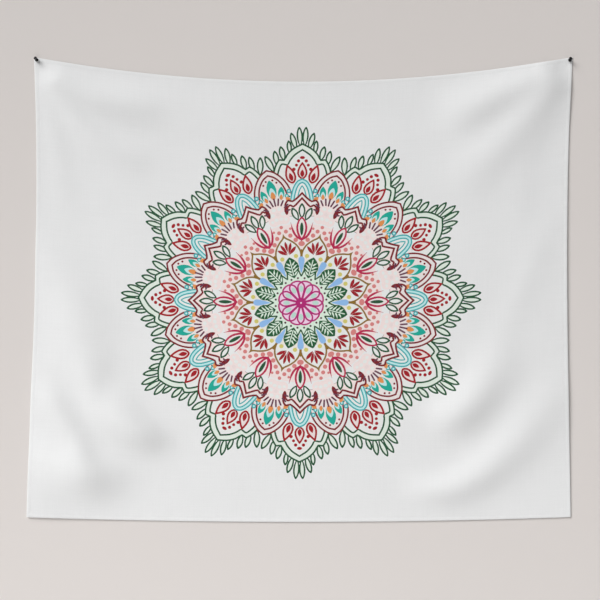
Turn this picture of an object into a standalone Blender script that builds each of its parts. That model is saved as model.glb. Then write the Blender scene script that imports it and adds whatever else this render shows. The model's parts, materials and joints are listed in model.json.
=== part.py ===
"""Printed wall tapestry: one thin cloth sheet, held on a wall by a push-pin at each top corner.

The origin is on the wall, midway between the two pin holes. +X runs to the viewer's right, +Y runs
into the wall and +Z is up, so the printed front faces -Y. All lengths are in metres.
"""
import math

import bmesh
import bpy
from mathutils import Matrix, Vector

# Cloth: cut size, and where its edges hang
CLOTH_WIDTH = 1.524
CLOTH_HEIGHT = 1.295
PIN_SPAN = 1.492
PIN_INSET_X = 0.009
PIN_INSET_Z = 0.0095
TOP_SAG = 0.069
BOTTOM_SAG = 0.0135
GATHER = 0.0062  # height that the folds take up
TOP_HALF = PIN_SPAN / 2 + PIN_INSET_X
TOP_Z = PIN_INSET_Z
BOTTOM_Z = TOP_Z - CLOTH_HEIGHT + GATHER

# How far each side edge stands outside (+) or inside (-) the pinned width, by share of the height
LEFT_EDGE = ((0.0, 0.0), (0.19, -0.0070), (0.75, 0.0070), (1.0, 0.0203))
RIGHT_EDGE = ((0.0, 0.0), (0.26, -0.0140), (0.75, -0.0120), (1.0, -0.0060))

# Hems and seams
HEM_WIDTH = 0.0127
SEAM_INSET = 0.0112
THREAD_WIDTH = 0.0006
GAP = 0.0003  # between pieces that touch

# Layers, as the distance of their front face from the wall where the cloth lies flat on it
CLOTH_THICKNESS = 0.0006
BOBBIN_THICKNESS = 0.0002
THREAD_THICKNESS = 0.0003
BOBBIN_FRONT = BOBBIN_THICKNESS
HEM_FRONT = BOBBIN_FRONT + GAP + CLOTH_THICKNESS
CLOTH_FRONT = HEM_FRONT + GAP + CLOTH_THICKNESS
THREAD_FRONT = CLOTH_FRONT + GAP + THREAD_THICKNESS

# The level line about which the hanging cloth lifts away from the wall. The folds fade out at it, so
# the cloth is straight there, and the axis of the lift runs just in front of it.
LIFT_Z = -0.160
LIFT_FADE = 0.070

# Drape: the cloth lies flat round each pin, stands off the wall elsewhere and bellies out below
STAND_OFF = 0.005
BELLY = 0.014
BELLY_HALF_SPAN = 1.0
FLAT_RADIUS = 0.032
FLAT_WIDTH = 0.020  # the corner square that the pin holds flat
FREE_RADIUS = 0.130
CREST_SAMPLES = 16

# Folds: crest (three points, each x and z), half width at its start and at its end, height
FOLDS = (
    # fan from the right pin
    ((0.746, 0.000), (0.600, -0.070), (0.440, -0.168), 0.020, 0.050, 0.0080),
    ((0.746, 0.000), (0.640, -0.145), (0.513, -0.314), 0.020, 0.055, 0.0110),
    # fan from the left pin
    ((-0.746, 0.000), (-0.570, -0.060), (-0.379, -0.135), 0.020, 0.055, 0.0070),
    ((-0.746, 0.000), (-0.690, -0.150), (-0.626, -0.303), 0.020, 0.050, 0.0070),
    # left side
    ((-0.640, -0.480), (-0.625, -0.680), (-0.592, -0.841), 0.080, 0.075, 0.0110),
    ((-0.715, -0.875), (-0.655, -1.050), (-0.592, -1.211), 0.055, 0.055, 0.0110),
    ((-0.500, -0.970), (-0.474, -1.004), (-0.445, -1.050), 0.060, 0.060, 0.0080),
    # right side
    ((0.384, -1.030), (0.500, -0.925), (0.575, -0.774), 0.055, 0.060, 0.0150),
    ((0.328, -1.225), (0.560, -1.190), (0.720, -0.965), 0.050, 0.060, 0.0140),
)

# Grid of the cloth solids
COLUMNS = 32
ROWS_ABOVE_LIFT = 5
ROWS_BELOW_LIFT = 24

# Push-pin: distances along its axis run outward from the hole in the cloth
FLANGE_RADIUS = 0.0050
FLANGE_THICKNESS = 0.0016
WAIST_RADIUS = 0.0029
GRIP_RADIUS = 0.0047
GRIP_THICKNESS = 0.0022
HEAD_LENGTH = 0.0125
EDGE_ROUND = 0.0006
NEEDLE_RADIUS = 0.00055
NEEDLE_IN_HEAD = 0.0062
NEEDLE_REACH = 0.0110  # from the cloth to the needle's tip
NEEDLE_TAPER = 0.0030
SOCKET_RADIUS = NEEDLE_RADIUS + GAP
HOLE_RADIUS = 0.0010
HOLE_Y = -(HEM_FRONT + CLOTH_FRONT - CLOTH_THICKNESS) / 2
# side of the cloth, lean of the head from straight out, and the way it leans (x, z)
PINS = (("left", -1, math.radians(20), (-0.50, 0.86)), ("right", 1, math.radians(13), (0.15, 0.99)))
TURN_STEPS = 32

COLOURS = {
    "cloth": ((0.86, 0.87, 0.87), 0.85, 0.0),
    "hem": ((0.84, 0.85, 0.85), 0.85, 0.0),
    "thread": ((0.80, 0.81, 0.81), 0.70, 0.0),
    "pin_plastic": ((0.012, 0.012, 0.014), 0.25, 0.0),
    "pin_steel": ((0.62, 0.63, 0.65), 0.25, 1.0),
}


# ---------------------------------------------------------------- scene, collections, materials
def clear_scene():
    for item in list(bpy.data.objects):
        bpy.data.objects.remove(item, do_unlink=True)


def new_collection(name):
    group = bpy.data.collections.new(name)
    bpy.context.scene.collection.children.link(group)
    return group


def material(name):
    """The Principled material of one slot, made once."""
    found = bpy.data.materials.get(name)
    if found:
        return found
    made = bpy.data.materials.new(name)
    made.use_nodes = True
    colour, roughness, metallic = COLOURS[name]
    shader = made.node_tree.nodes["Principled BSDF"]
    shader.inputs["Base Color"].default_value = (*colour, 1.0)
    shader.inputs["Roughness"].default_value = roughness
    shader.inputs["Metallic"].default_value = metallic
    return made


def add_object(name, mesh, group, slot=None):
    item = bpy.data.objects.new(name, mesh)
    group.objects.link(item)
    if slot:
        mesh.materials.append(material(slot))
    return item


# ---------------------------------------------------------------- the cloth's shape on the wall
def through(points, t):
    """A smooth curve's value at t, through every point (Lagrange)."""
    total = 0.0
    for i, (ti, value) in enumerate(points):
        weight = 1.0
        for j, (tj, _) in enumerate(points):
            if i != j:
                weight *= (t - tj) / (ti - tj)
        total += weight * value
    return total


def ease(low, high, value):
    """0 below low, 1 above high, smooth between."""
    t = min(1.0, max(0.0, (value - low) / (high - low)))
    return t * t * (3 - 2 * t)


def top_edge(s):
    return TOP_Z - TOP_SAG * 4 * s * (1 - s)


def bottom_edge(s):
    return BOTTOM_Z - BOTTOM_SAG * 4 * s * (1 - s)


def side_edges(z):
    """x of the left and right edges at height z."""
    t = (TOP_Z - z) / (TOP_Z - BOTTOM_Z)
    return -TOP_HALF - through(LEFT_EDGE, t), TOP_HALF + through(RIGHT_EDGE, t)


def crest_point(start, middle, end, t):
    """A point of the arc that leaves start, passes near middle and reaches end."""
    return tuple(
        (1 - t) ** 2 * a + 2 * t * (1 - t) * b + t * t * c for a, b, c in zip(start, middle, end)
    )


def fold_height(fold, x, z):
    """One fold's height at (x, z): a rounded ridge that fades out at both ends of its crest."""
    start, middle, end, width_start, width_end, height = fold
    best = None
    for k in range(CREST_SAMPLES + 1):
        t = k / CREST_SAMPLES
        cx, cz = crest_point(start, middle, end, t)
        width = width_start + (width_end - width_start) * t
        spread = ((x - cx) ** 2 + (z - cz) ** 2) / width**2
        best = spread if best is None else min(best, spread)
    return height * math.exp(-best)


def belly(x, z):
    """How far the hanging cloth bellies out, most at its middle."""
    t = min(1.0, max(0.0, (LIFT_Z - z) / (LIFT_Z - BOTTOM_Z)))
    return BELLY * math.sin(math.pi * t) * math.cos(math.pi / 2 * x / BELLY_HALF_SPAN)


def stand_off(x, z):
    """Distance of the cloth from its flat place on the wall."""
    to_pin = min(math.hypot(x - side * PIN_SPAN / 2, z) for _, side, _, _ in PINS)
    free = ease(FLAT_RADIUS, FREE_RADIUS, to_pin)
    folds = sum(fold_height(fold, x, z) for fold in FOLDS)
    return free * (STAND_OFF + belly(x, z) + folds * ease(0.0, LIFT_FADE, abs(z - LIFT_Z)))


# ---------------------------------------------------------------- sheet solids
def band_lines():
    """Distances from an edge of the lines that bound the seam, the hem and the first gap."""
    seam = SEAM_INSET
    sewn = (seam - THREAD_WIDTH / 2, seam + THREAD_WIDTH / 2)
    return (0.0, *sewn, HEM_WIDTH, HEM_WIDTH + GAP, FLAT_WIDTH)


def column_lines():
    """Columns as (share of the width, offset from there)."""
    lines = band_lines()
    left = [(0.0, d) for d in lines]
    right = [(1.0, -d) for d in reversed(lines)]
    inner = [(k / COLUMNS, lines[-1] * (1 - 2 * k / COLUMNS)) for k in range(1, COLUMNS)]
    return left + inner + right


def upper_rows():
    """Rows from the top edge to the lift line, as (share of that height, offset)."""
    lines = band_lines()
    inner = []
    for k in range(1, ROWS_ABOVE_LIFT + 1):
        share = k / ROWS_ABOVE_LIFT
        inner.append((share, -lines[-1] * (1 - share) + GAP / 2 * share))
    return [(0.0, -d) for d in lines] + inner


def lower_rows():
    """Rows from the lift line to the bottom edge."""
    lines = band_lines()
    inner = []
    for k in range(ROWS_BELOW_LIFT):
        share = k / ROWS_BELOW_LIFT
        inner.append((share, -GAP / 2 * (1 - share) + lines[-1] * share))
    return inner + [(1.0, d) for d in reversed(lines)]


def place_on_cloth(column, row, upper):
    """(x, z) of the crossing of a column and a row."""
    s = column[0] + column[1] / CLOTH_WIDTH
    first, last = (top_edge(s), LIFT_Z) if upper else (LIFT_Z, bottom_edge(s))
    z = first + (last - first) * row[0] + row[1]
    left, right = side_edges(z)
    return left + (right - left) * column[0] + column[1], z


def sheet(name, slot, group, columns, rows, upper, front, thickness):
    """A piece of thin sheet that lies in the cloth's drape, its front face at the layer's depth."""
    grid = bmesh.new()
    last_column, last_row = len(columns) - 1, len(rows) - 1
    bmesh.ops.create_grid(grid, x_segments=last_column, y_segments=last_row, size=0.5)
    for vertex in grid.verts:
        column = columns[round((vertex.co.x + 0.5) * last_column)]
        row = rows[round((0.5 - vertex.co.y) * last_row)]
        x, z = place_on_cloth(column, row, upper)
        vertex.co = Vector((x, -front - stand_off(x, z), z))
    mesh = bpy.data.meshes.new(name)
    grid.to_mesh(mesh)
    grid.free()
    mesh.shade_smooth()
    item = add_object(name, mesh, group, slot)
    shell = item.modifiers.new("thickness", "SOLIDIFY")
    shell.thickness = thickness
    shell.offset = -1
    return item


def band(lines, low, high):
    """The part of a list of lines from the index low up to and including high."""
    return lines[low : high + 1]


def build_cloth(group):
    columns = column_lines()
    upper = sheet(
        "cloth_upper", "cloth", group, columns, upper_rows(), True, CLOTH_FRONT, CLOTH_THICKNESS
    )
    sheet("cloth_lower", "cloth", group, columns, lower_rows(), False, CLOTH_FRONT, CLOTH_THICKNESS)
    return upper


def build_hems(group):
    """The cloth's edge folded to the back: top and bottom run across, the sides run between."""
    columns, above, below = column_lines(), upper_rows(), lower_rows()
    hem = 3  # index of the hem's inner line in the band lines
    layer = (HEM_FRONT, CLOTH_THICKNESS)
    top = sheet("top_hem", "hem", group, columns, band(above, 0, hem), True, *layer)
    sheet("bottom_hem", "hem", group, columns, below[-hem - 1 :], False, *layer)
    sides = {"left": band(columns, 0, hem), "right": columns[-hem - 1 :]}
    for side, strip in sides.items():
        sheet(f"{side}_hem_upper", "hem", group, strip, above[hem + 1 :], True, *layer)
        sheet(f"{side}_hem_lower", "hem", group, strip, below[: -hem - 1], False, *layer)
    return top


def build_seams(group):
    """The two threads of the lockstitch along each hem: needle thread in front, bobbin behind."""
    columns, above, below = column_lines(), upper_rows(), lower_rows()
    layers = {"needle": (THREAD_FRONT, THREAD_THICKNESS), "bobbin": (BOBBIN_FRONT, BOBBIN_THICKNESS)}
    sides = {"left": band(columns, 1, 2), "right": columns[-3:-1]}
    across = columns[1:-1]
    hem = 3
    for kind, layer in layers.items():
        sheet(f"top_{kind}_thread", "thread", group, across, band(above, 1, 2), True, *layer)
        sheet(f"bottom_{kind}_thread", "thread", group, across, below[-3:-1], False, *layer)
        for side, strip in sides.items():
            name = f"{side}_{kind}_thread"
            sheet(f"{name}_upper", "thread", group, strip, above[hem + 1 :], True, *layer)
            sheet(f"{name}_lower", "thread", group, strip, below[: -hem - 1], False, *layer)


# ---------------------------------------------------------------- push-pins
def turned(name, profile, group, slot):
    """A solid turned round its own Z axis from a profile of (radius, height), top to bottom."""
    mesh = bpy.data.meshes.new(name)
    points = bmesh.new()
    verts = [points.verts.new((radius, 0.0, height)) for radius, height in profile]
    for a, b in zip(verts, verts[1:]):
        points.edges.new((a, b))
    points.to_mesh(mesh)
    points.free()
    item = add_object(name, mesh, group, slot)
    lathe = item.modifiers.new("turn", "SCREW")
    lathe.steps = lathe.render_steps = TURN_STEPS
    lathe.use_merge_vertices = True
    lathe.merge_threshold = 0.00001
    return item


def rounded_disc(radius, low, high):
    """Outer points of a disc with eased edges, from its top to its bottom."""
    e = EDGE_ROUND
    return [
        (radius - e, high),
        (radius - 0.3 * e, high - 0.3 * e),
        (radius, high - e),
        (radius, low + e),
        (radius - 0.3 * e, low + 0.3 * e),
        (radius - e, low),
    ]


def head_profile(base):
    """The plastic head: a grip disc, a waisted neck, a flange, and the socket for the needle."""
    top = base + HEAD_LENGTH
    neck_top, neck_low = top - GRIP_THICKNESS, base + FLANGE_THICKNESS
    waist = (neck_top + neck_low) / 2
    half = (neck_top - neck_low) / 2
    neck = []
    for share in (0.8, 0.4, 0.0, -0.4, -0.8):
        neck.append((WAIST_RADIUS + 0.0009 * share**2, waist + half * share))
    return (
        [(0.0, top)]
        + rounded_disc(GRIP_RADIUS, neck_top, top)
        + neck
        + rounded_disc(FLANGE_RADIUS, base, neck_low)
        + [(SOCKET_RADIUS, base), (SOCKET_RADIUS, base + NEEDLE_IN_HEAD + GAP)]
        + [(0.0, base + NEEDLE_IN_HEAD + GAP)]
    )


def needle_profile(base):
    """The steel needle: its blunt end in the head, its point beyond the cloth."""
    tip = -NEEDLE_REACH
    return [
        (0.0, base + NEEDLE_IN_HEAD),
        (NEEDLE_RADIUS, base + NEEDLE_IN_HEAD),
        (NEEDLE_RADIUS, tip + NEEDLE_TAPER),
        (0.6 * NEEDLE_RADIUS, tip + 0.4 * NEEDLE_TAPER),
        (0.0, tip),
    ]


def pin_axis(lean, way):
    """Outward direction of a pin whose head leans that much towards (x, z)."""
    across = Vector((way[0], 0.0, way[1])).normalized()
    return (Vector((0.0, -1.0, 0.0)) * math.cos(lean) + across * math.sin(lean)).normalized()


def head_base(lean):
    """Distance from the hole to the flange that keeps its low edge just off the seam's thread."""
    clear = THREAD_FRONT + GAP + HOLE_Y + FLANGE_RADIUS * math.sin(lean)
    return clear / math.cos(lean)


def pin_frame(side, lean, way):
    """World matrix of a pin: its origin at the hole in the cloth, +Z outward along the needle."""
    turn = Vector((0.0, 0.0, 1.0)).rotation_difference(pin_axis(lean, way))
    return Matrix.Translation((side * PIN_SPAN / 2, HOLE_Y, 0.0)) @ turn.to_matrix().to_4x4()


def build_pin(label, side, lean, way, group):
    """One push-pin. Head and needle hang under an empty that lies on the line of the pull."""
    axis = bpy.data.objects.new(f"{label}_pin_axis", None)
    group.objects.link(axis)
    axis.matrix_world = pin_frame(side, lean, way)
    base = head_base(lean)
    head = turned(f"{label}_pin_head", head_profile(base), group, "pin_plastic")
    needle = turned(f"{label}_pin_needle", needle_profile(base), group, "pin_steel")
    head.parent = needle.parent = axis


def pierce(targets, label, side, lean, way, cutters):
    """The hole that a needle makes through the cloth and the hem behind it."""
    drill = bmesh.new()
    bmesh.ops.create_cone(
        drill, cap_ends=True, segments=16, radius1=HOLE_RADIUS, radius2=HOLE_RADIUS, depth=0.012
    )
    mesh = bpy.data.meshes.new(f"{label}_hole")
    drill.to_mesh(mesh)
    drill.free()
    cutter = add_object(f"{label}_hole", mesh, cutters)
    cutter.matrix_world = pin_frame(side, lean, way)
    cutter.hide_render = True
    cutter.display_type = "WIRE"
    for target in targets:
        cut = target.modifiers.new(f"{label} hole", "BOOLEAN")
        cut.operation = "DIFFERENCE"
        cut.solver = "EXACT"
        cut.object = cutter


def main():
    clear_scene()
    parts = new_collection("tapestry_wall_hanging")
    cutters = new_collection("cutters")
    upper = build_cloth(parts)
    top_hem = build_hems(parts)
    build_seams(parts)
    for pin in PINS:
        build_pin(*pin, parts)
        pierce((upper, top_hem), *pin, cutters)
    bpy.context.view_layer.update()


main()
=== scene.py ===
"""Looks of the printed wall tapestry: the draped and printed cloth, its sewn hems and its push-pins."""

import json
import math

import bpy
import numpy as np
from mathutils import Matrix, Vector
from mathutils.geometry import delaunay_2d_cdt


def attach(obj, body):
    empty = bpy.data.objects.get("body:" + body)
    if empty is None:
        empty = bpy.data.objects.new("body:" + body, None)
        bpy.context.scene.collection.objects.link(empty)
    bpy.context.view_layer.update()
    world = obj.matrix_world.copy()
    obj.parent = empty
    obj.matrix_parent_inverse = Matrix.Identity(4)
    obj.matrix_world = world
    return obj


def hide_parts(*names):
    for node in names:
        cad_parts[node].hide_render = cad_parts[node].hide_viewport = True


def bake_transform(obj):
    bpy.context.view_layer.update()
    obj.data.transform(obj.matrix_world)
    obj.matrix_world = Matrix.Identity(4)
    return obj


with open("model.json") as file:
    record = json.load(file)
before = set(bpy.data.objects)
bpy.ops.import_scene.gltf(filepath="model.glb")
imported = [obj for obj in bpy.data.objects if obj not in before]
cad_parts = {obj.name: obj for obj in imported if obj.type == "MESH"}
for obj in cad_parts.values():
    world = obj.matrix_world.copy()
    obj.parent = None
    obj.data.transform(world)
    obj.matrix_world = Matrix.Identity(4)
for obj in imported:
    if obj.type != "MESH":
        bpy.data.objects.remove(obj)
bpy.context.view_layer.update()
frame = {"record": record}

# ---- sizes in metres; the outline, the hems and the pins are as in the CAD part
CLOTH_WIDTH = 1.524
CLOTH_HEIGHT = 1.295
PIN_SPAN = 1.492
PIN_INSET_X = 0.009
PIN_INSET_Z = 0.0095
TOP_SAG = 0.069
BOTTOM_SAG = 0.0135
GATHER = 0.0062
TOP_HALF = PIN_SPAN / 2 + PIN_INSET_X
TOP_Z = PIN_INSET_Z
BOTTOM_Z = TOP_Z - CLOTH_HEIGHT + GATHER
LEFT_EDGE = ((0, 0), (0.19, -0.007), (0.75, 0.007), (1, 0.0203))
RIGHT_EDGE = ((0, 0), (0.26, -0.014), (0.75, -0.012), (1, -0.006))
HEM_WIDTH = 0.0127
SEAM_INSET = 0.0112

# Layers, as distances of their front faces from the wall at the pins
HEM_FRONT = 0.0011
CLOTH_FRONT = 0.002
CLOTH_THICKNESS = 0.0005
CAD_THICKNESS = 0.0006

# Push-pin: heights are from the flange's flat face, towards the head's face
HEAD_LENGTH = 0.0125
GRIP_RADIUS, GRIP_ROUND = 0.0047, 0.0006
GRIP_LOW = HEAD_LENGTH - 0.0022
DISH_FLOOR, DISH_RIM, DISH_DEPTH = 0.0022, 0.0027, 0.00025
FLANGE_RADIUS, FLANGE_ROUND = 0.005, 0.0005
FLANGE_TOP = 0.0016
SOCKET_FLOOR, SOCKET_MOUTH, SOCKET_DEPTH = 0.001, 0.0014, 0.00035
WAIST_RADIUS = 0.0029
WAIST_FLARE = 0.0011
NECK_HALF = 0.0043
NECK_STEPS = 10
NEEDLE_RADIUS = 0.00055
NEEDLE_REACH = 0.011  # from the middle of the cloth's layers to the needle's tip
# Radii of the needle towards its tip, and their heights over it
NEEDLE_POINT = ((0.00055, 0.0032), (0.00046, 0.0021), (0.00028, 0.0009), (0.00008, 0.0001), (0, 0))

# Lift: the line about which the hanging part turns when it is lifted; the belly starts below it
LIFT_Z = -0.16  # the line it turns about

# Drape
STAND_OFF = 0.0015
BELLY = 0.014
BELLY_HALF_SPAN = 0.85
FLAT_RADIUS = 0.012
FREE_RADIUS = 0.09
CREST_SAMPLES = 24
CREST_BLEND = 4  # higher follows the crest more sharply

# Half widths of the folds at their two ends
FINE, NARROW, MIDDLE, WIDE, BROAD = 0.02, 0.035, 0.05, 0.07, 0.115

LEFT_PIN = (-PIN_SPAN / 2, 0)
RIGHT_PIN = (PIN_SPAN / 2, 0)

# Folds: the crest runs from the first place (x, z) towards the second and ends at the third;
# then its half width at both ends, and its height
FOLDS = (
    # fan from the right pin
    (RIGHT_PIN, (0.5, -0.12), (0.42, -0.16), NARROW, WIDE, 0.014),
    (RIGHT_PIN, (0.66, -0.14), (0.45, -0.33), NARROW, WIDE, 0.012),
    # fan from the left pin, and a soft swell beyond it
    (LEFT_PIN, (-0.6, -0.15), (-0.33, -0.13), FINE, WIDE, 0.013),
    (LEFT_PIN, (-0.62, -0.24), (-0.45, -0.28), FINE, MIDDLE, 0.008),
    (LEFT_PIN, (-0.68, -0.24), (-0.67, -0.4), FINE, NARROW, 0.002),
    ((-0.34, -0.17), (-0.26, -0.17), (-0.12, -0.24), MIDDLE, BROAD, 0.008),
    # left side, from the top down
    ((-0.77, -0.5), (-0.52, -0.72), (-0.71, -0.94), MIDDLE, BROAD, 0.012),
    ((-0.6, -0.84), (-0.6, -1.04), (-0.4, -1.06), MIDDLE, MIDDLE, 0.014),
    ((-0.53, -0.94), (-0.5, -1), (-0.42, -1.06), MIDDLE, MIDDLE, 0.015),
    ((-0.8, -0.87), (-0.58, -1.18), (-0.77, -1.16), WIDE, BROAD, 0.015),
    ((-0.72, -0.93), (-0.67, -0.97), (-0.58, -1.16), NARROW, NARROW, 0.007),
    ((-0.64, -1.1), (-0.62, -1.19), (-0.53, -1.16), MIDDLE, WIDE, 0.019),
    # right side, from the top down
    ((0.87, -0.05), (0.5, -0.22), (0.64, -0.56), NARROW, MIDDLE, 0.002),
    ((0.52, -0.85), (0.6, -0.67), (0.7, -0.43), MIDDLE, NARROW, 0.002),
    ((0.39, -0.99), (0.45, -1.02), (0.55, -0.84), MIDDLE, WIDE, 0.017),
    ((0.31, -1.19), (0.47, -1.27), (0.71, -0.92), NARROW, WIDE, 0.012),
)

# Print: its radius on the flat cloth, and the pen that draws its outlines, as a share of the radius
PRINT_RADIUS = 0.5156
PRINT_STRETCH = 1.005  # the print is this much taller than wide
PRINT_DROP = 0.0032  # its centre sits this far below the cloth's
PRINT_DISC = 1.03  # share of the radius out to which the cloth's mesh follows the print
COPIES = 12  # equal parts of the print
SECTOR_DEGREES = 15  # half of a part; only this is drawn, then mirrored and turned
SECTOR = math.radians(SECTOR_DEGREES)
PRINT_CENTRE = np.array((CLOTH_WIDTH / 2, CLOTH_HEIGHT / 2 + PRINT_DROP))
PRINT_RADII = np.array((PRINT_RADIUS, PRINT_RADIUS * PRINT_STRETCH))
PEN = 0.0092
BLUNT_END = 0.8  # how far a stroke's end bulges, in half widths
FINEST_POINT = 0.15  # a pointed stroke's width at its tip, as a share
ON_AXIS = 1e-4  # closer to a petal's axis than this counts as on it

# Mesh of the print, in shares of its radius, and of the plain cloth round it
SHAPE_REACH = 0.01  # shapes up to this far outside the half sector are kept
FILL_PITCH = 0.0195
FILL_RISE = 0.866  # from row to row of the filling points, in pitches
RIM_STEPS = 8  # steps of the rim in each half sector
WELD_GRID = 2e-5  # points that round to the same place on this grid are joined
GRID = 0.01  # pitch of the plain cloth's grid
HEM_LINES = (0, 0.0012, 0.005, SEAM_INSET - 0.0014, SEAM_INSET, SEAM_INSET + 0.0014, 0.015, 0.019)

# Relief of the cloth's face along its edges: heights, and how far each reaches
EDGE_DROP, EDGE_REACH = 0.0003, 0.0006
SEAM_PINCH, SEAM_REACH = 0.00025, 0.0012
HEM_STEP, HEM_STEP_WIDTH = 0.0002, 0.006
PUCKER, PUCKER_REACH = 0.00022, 0.01
# Waves that make up the puckers: share of the height, length over two pi, and shift
PUCKER_WAVES = ((1, 0.0041, 0), (0.7, 0.0067, 1.3), (0.5, 0.0113, 0))

# Folded hem, all round: distance from the cloth's edge, and distance behind the hem's front
HEM_PROFILE = (
    (0.0004, 0.00015), (0.001, 0), (0.0112, 0.00012), (0.0122, 0), (0.0127, 0.0002),
    (0.0127, 0.00045), (0.0122, 0.00062), (0.0112, 0.00045), (0.001, 0.00062), (0.0004, 0.00048),
)
HEM_BACK = 0.00062
HEM_PITCH = 0.006
HEM_END_GAP = 0.0004  # the side hems end this far from the top and bottom hems

# Seams
LEVEL_SIDES = ("top", "bottom")
STITCH_PITCH = 0.0034
STITCH_LENGTH = 0.0029
STITCH_RINGS = 5
STITCH_SIDES = 5
STITCH_BOW = 0.00026
STITCH_DIVE = 0.0002
SEAM_START = 0.002
THREAD_RADIUS = 0.00022
THREAD_RISE = 0.00002  # the needle thread's middle lies this far over the cloth

# Room, and the camera's view of the wall: its width and its middle
ROOM_HALF = 4
FLOOR_Z = -1.75
FLOOR_REACH = 5
WALL_TOP = 1.6
VIEW_WIDTH = 1.682
VIEW_X = -0.0095
VIEW_Z = -0.671
LENS = 85  # mm
SENSOR_WIDTH = 36  # mm

# Colours as the shader takes them
INKS = {
    "cloth_white": (0.86, 0.865, 0.865),
    "fir_line": (0.016, 0.088, 0.036),
    "leaf_green": (0.014, 0.105, 0.036),
    "pale_green": (0.78, 0.86, 0.775),
    "leaf_mist": (0.745, 0.87, 0.75),
    "mist": (0.85, 0.86, 0.84),
    "rose_mist": (0.865, 0.795, 0.78),
    "shell": (0.92, 0.79, 0.77),
    "magenta": (0.46, 0.016, 0.175),
    "blush": (0.91, 0.65, 0.83),
    "mint": (0.52, 0.73, 0.65),
    "mauve": (0.1, 0.05, 0.06),
    "sky": (0.29, 0.52, 0.86),
    "straw": (0.68, 0.61, 0.17),
    "gold": (0.27, 0.15, 0.022),
    "cream": (0.86, 0.84, 0.74),
    "crimson": (0.35, 0.01, 0.018),
    "salmon": (0.7, 0.235, 0.225),
    "rose": (0.5, 0.018, 0.078),
    "wine": (0.21, 0.011, 0.018),
    "plum": (0.14, 0.04, 0.075),
    "petal_pink": (0.87, 0.75, 0.735),
    "teal": (0.011, 0.41, 0.32),
    "apricot": (0.8, 0.3, 0.09),
    "cyan": (0.05, 0.44, 0.46),
    "ice": (0.54, 0.83, 0.835),
    "red": (0.37, 0.007, 0.014),
}


# ---- the cloth's shape on the wall
def through(points, t):
    """A smooth curve's value at t, through every point (Lagrange)."""
    total = 0
    for here, value in points:
        shares = ((t - there) / (here - there) for there, _ in points if there != here)
        total = total + value * math.prod(shares)
    return total


def ease(low, high, value):
    """0 below low, 1 above high, smooth between."""
    t = np.clip((value - low) / (high - low), 0, 1)
    return t * t * (3 - 2 * t)


def fold_height(fold, x, z):
    """One fold's height at (x, z): a rounded ridge along its crest, which tapers to both ends."""
    start, middle, end, width_start, width_end, height = fold
    t = (np.arange(CREST_SAMPLES) + 0.5) / CREST_SAMPLES
    crest_x, crest_z = (
        (1 - t) ** 2 * a + 2 * t * (1 - t) * b + t * t * c for a, b, c in zip(start, middle, end)
    )
    width = width_start + (width_end - width_start) * t
    taper = (4 * t * (1 - t)) ** (CREST_BLEND / 2)

    def nearness(px, pz):
        total = sum(
            part * np.exp(-CREST_BLEND * ((px - cx) ** 2 + (pz - cz) ** 2) / w**2)
            for cx, cz, w, part in zip(crest_x, crest_z, width, taper)
        )
        return total ** (1 / CREST_BLEND)

    return height * nearness(x, z) / nearness(crest_x, crest_z).max()


def stand_off(x, z):
    """Distance of the cloth from its flat place on the wall."""
    to_pin = np.minimum(np.hypot(x - PIN_SPAN / 2, z), np.hypot(x + PIN_SPAN / 2, z))
    free = ease(FLAT_RADIUS, FREE_RADIUS, to_pin)
    t = np.clip((LIFT_Z - z) / (LIFT_Z - BOTTOM_Z), 0, 1)
    belly = BELLY * np.sin(math.pi * t) * np.cos(math.pi / 2 * x / BELLY_HALF_SPAN)
    return free * (STAND_OFF + belly + sum(fold_height(fold, x, z) for fold in FOLDS))


def hang(flat, depth):
    """World points of flat cloth points (across, down), each that far in front of the wall layer."""
    across, down = flat[:, 0], flat[:, 1]
    s, t = across / CLOTH_WIDTH, down / CLOTH_HEIGHT
    top = TOP_Z - TOP_SAG * 4 * s * (1 - s)
    bottom = BOTTOM_Z - BOTTOM_SAG * 4 * s * (1 - s)
    z = top + (bottom - top) * t
    height = (TOP_Z - z) / (TOP_Z - BOTTOM_Z)
    left = -TOP_HALF - through(LEFT_EDGE, height)
    right = TOP_HALF + through(RIGHT_EDGE, height)
    x = left + (right - left) * s
    return np.column_stack((x, -depth - stand_off(x, z), z))


# ---- drawing tools of the print
# Drawing units are shares of the print's radius; y runs outward along a petal's axis and x across it.
def smooth(points, per):
    """An open curve through the points (Catmull-Rom), with per steps between each two."""
    p = np.array(points, float)
    p = np.vstack((2 * p[0] - p[1], p, 2 * p[-1] - p[-2]))
    t = np.arange(per)[:, None] / per
    runs = []
    for a, b, c, d in zip(p, p[1:], p[2:], p[3:]):
        square = 2 * a - 5 * b + 4 * c - d
        cube = 3 * b - a - 3 * c + d
        runs.append(0.5 * (2 * b + (c - a) * t + square * t**2 + cube * t**3))
    return np.vstack(runs + [p[-2]])


def normals(path):
    """Unit normals, to the right of the way the path runs."""
    way = np.gradient(path, axis=0)
    way /= np.linalg.norm(way, axis=1)[:, None]
    return np.column_stack((way[:, 1], -way[:, 0]))


def ribbon(points, width, per, point_end=0):
    """A pen stroke along the points, with blunt ends or narrowed over its last share, point_end."""
    path = smooth(points, per)
    t = np.linspace(0, 1, len(path))
    half = np.full(len(path), width / 2)
    if point_end:
        half *= np.clip((1 - t) / point_end, FINEST_POINT, 1)
    side = normals(path) * half[:, None]
    out, on = path[0] - path[1], path[-1] - path[-2]
    first = path[0] + out / np.linalg.norm(out) * half[0] * BLUNT_END
    last = path[-1] + on / np.linalg.norm(on) * half[-1] * BLUNT_END
    return np.vstack((first, path + side, last, (path - side)[::-1]))


def oval(centre, across, along, steps=12):
    """An oval from its half width and half height."""
    a = np.linspace(0, 2 * math.pi, steps, endpoint=False)
    return np.column_stack((across * np.cos(a), along * np.sin(a))) + np.array(centre)


def dot(centre, radius, steps=8):
    """A round dot."""
    return oval(centre, radius, radius, steps)


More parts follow.
